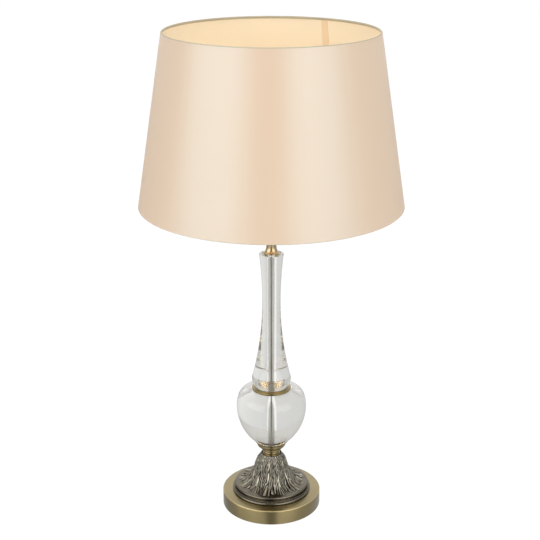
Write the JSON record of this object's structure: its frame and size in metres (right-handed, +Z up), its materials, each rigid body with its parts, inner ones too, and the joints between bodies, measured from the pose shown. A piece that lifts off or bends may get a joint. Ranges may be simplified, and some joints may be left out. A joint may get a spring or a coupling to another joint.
{
  "type": "table lamp",
  "caption": "Candlestick table lamp: a solid crystal urn and trumpet column on a cast leaf skirt and a round brass base, under a tapered satin drum shade",
  "frame": {"origin": "on the lamp's axis, on the table under the felt pad", "axes": "+Z up along the lamp's axis, -Y towards the viewer of the picture, +Y towards the cord inlet at the back"},
  "size_m": [0.3556, 0.3556, 0.6811],
  "materials": {
    "base_felt": "wool felt pad",
    "base_disc": "satin antique brass, brushed round the axis",
    "base_weight": "as cast, painted",
    "cord_bushing": "black moulded nylon",
    "threaded_rod": "zinc plated steel pipe",
    "rod_nut": "zinc plated steel",
    "lock_washer": "zinc plated spring steel",
    "rod_washer": "zinc plated steel",
    "beaded_ring": "antiqued bronze over a zinc alloy casting",
    "leaf_skirt": "antiqued bronze over a zinc alloy casting",
    "spool_collar": "satin antique brass",
    "urn_cup": "satin antique brass",
    "urn_glass": "clear polished crystal",
    "glass_ring": "polished brass",
    "column_glass": "clear polished crystal",
    "glass_washers": "clear soft plastic",
    "neck": "polished brass",
    "holder_cap": "polished brass",
    "holder_body": "polished brass",
    "holder_insert": "glazed white porcelain",
    "screw_shell": "plain sheet brass",
    "centre_contact": "spring brass",
    "terminal_screws": "nickel plated",
    "shade_cover": "cream satin",
    "shade_liner": "translucent styrene backing",
    "top_roll": "cream satin rolled over the wire",
    "bottom_roll": "cream satin rolled over the wire",
    "top_wire": "white powder coat",
    "bottom_wire": "white powder coat",
    "shade_fitter": "brass plated steel",
    "shade_ring": "polished brass",
    "bulb_globe": "opal white",
    "bulb_cap": "bright",
    "bulb_insulator": "black vitrite",
    "bulb_contact": "solder tin"
  },
  "bodies": {
    "stand": {"base_felt": "base_felt", "base_disc": "base_disc", "base_weight": "base_weight", "cord_bushing": "cord_bushing", "threaded_rod": "threaded_rod", "rod_nut": "rod_nut", "lock_washer": "lock_washer", "rod_washer": "rod_washer", "beaded_ring": "beaded_ring", "leaf_skirt": "leaf_skirt", "spool_collar": "spool_collar", "urn_cup": "urn_cup", "urn_glass": "urn_glass", "glass_ring": "glass_ring", "column_glass": "column_glass", "glass_washers": "glass_washers", "neck": "neck", "holder_cap": "holder_cap", "holder_body": "holder_body", "holder_insert": "holder_insert", "screw_shell": "screw_shell", "centre_contact": "centre_contact", "terminal_screws": "terminal_screws"},
    "shade": {"shade_cover": "shade_cover", "shade_liner": "shade_liner", "top_roll": "top_roll", "bottom_roll": "bottom_roll", "top_wire": "top_wire", "bottom_wire": "bottom_wire", "shade_fitter": "shade_fitter"},
    "clamp": {"shade_ring": "shade_ring"},
    "bulb": {"bulb_globe": "bulb_globe", "bulb_cap": "bulb_cap", "bulb_insulator": "bulb_insulator", "bulb_contact": "bulb_contact"}
  },
  "joints": [
    {"name": "shade_lift", "type": "slide", "parent": "stand", "child": "shade", "axis": [0, 0, 1], "range_m": [0, 0.02]},
    {"name": "ring_unscrew", "type": "hinge", "parent": "shade", "child": "clamp", "pos_m": [0, 0, 0.4463], "axis": [0, 0, 1], "continuous": true},
    {"name": "bulb_out", "type": "slide", "parent": "stand", "child": "bulb", "axis": [0, 0, 1], "range_m": [0, 0.036]}
  ]
}
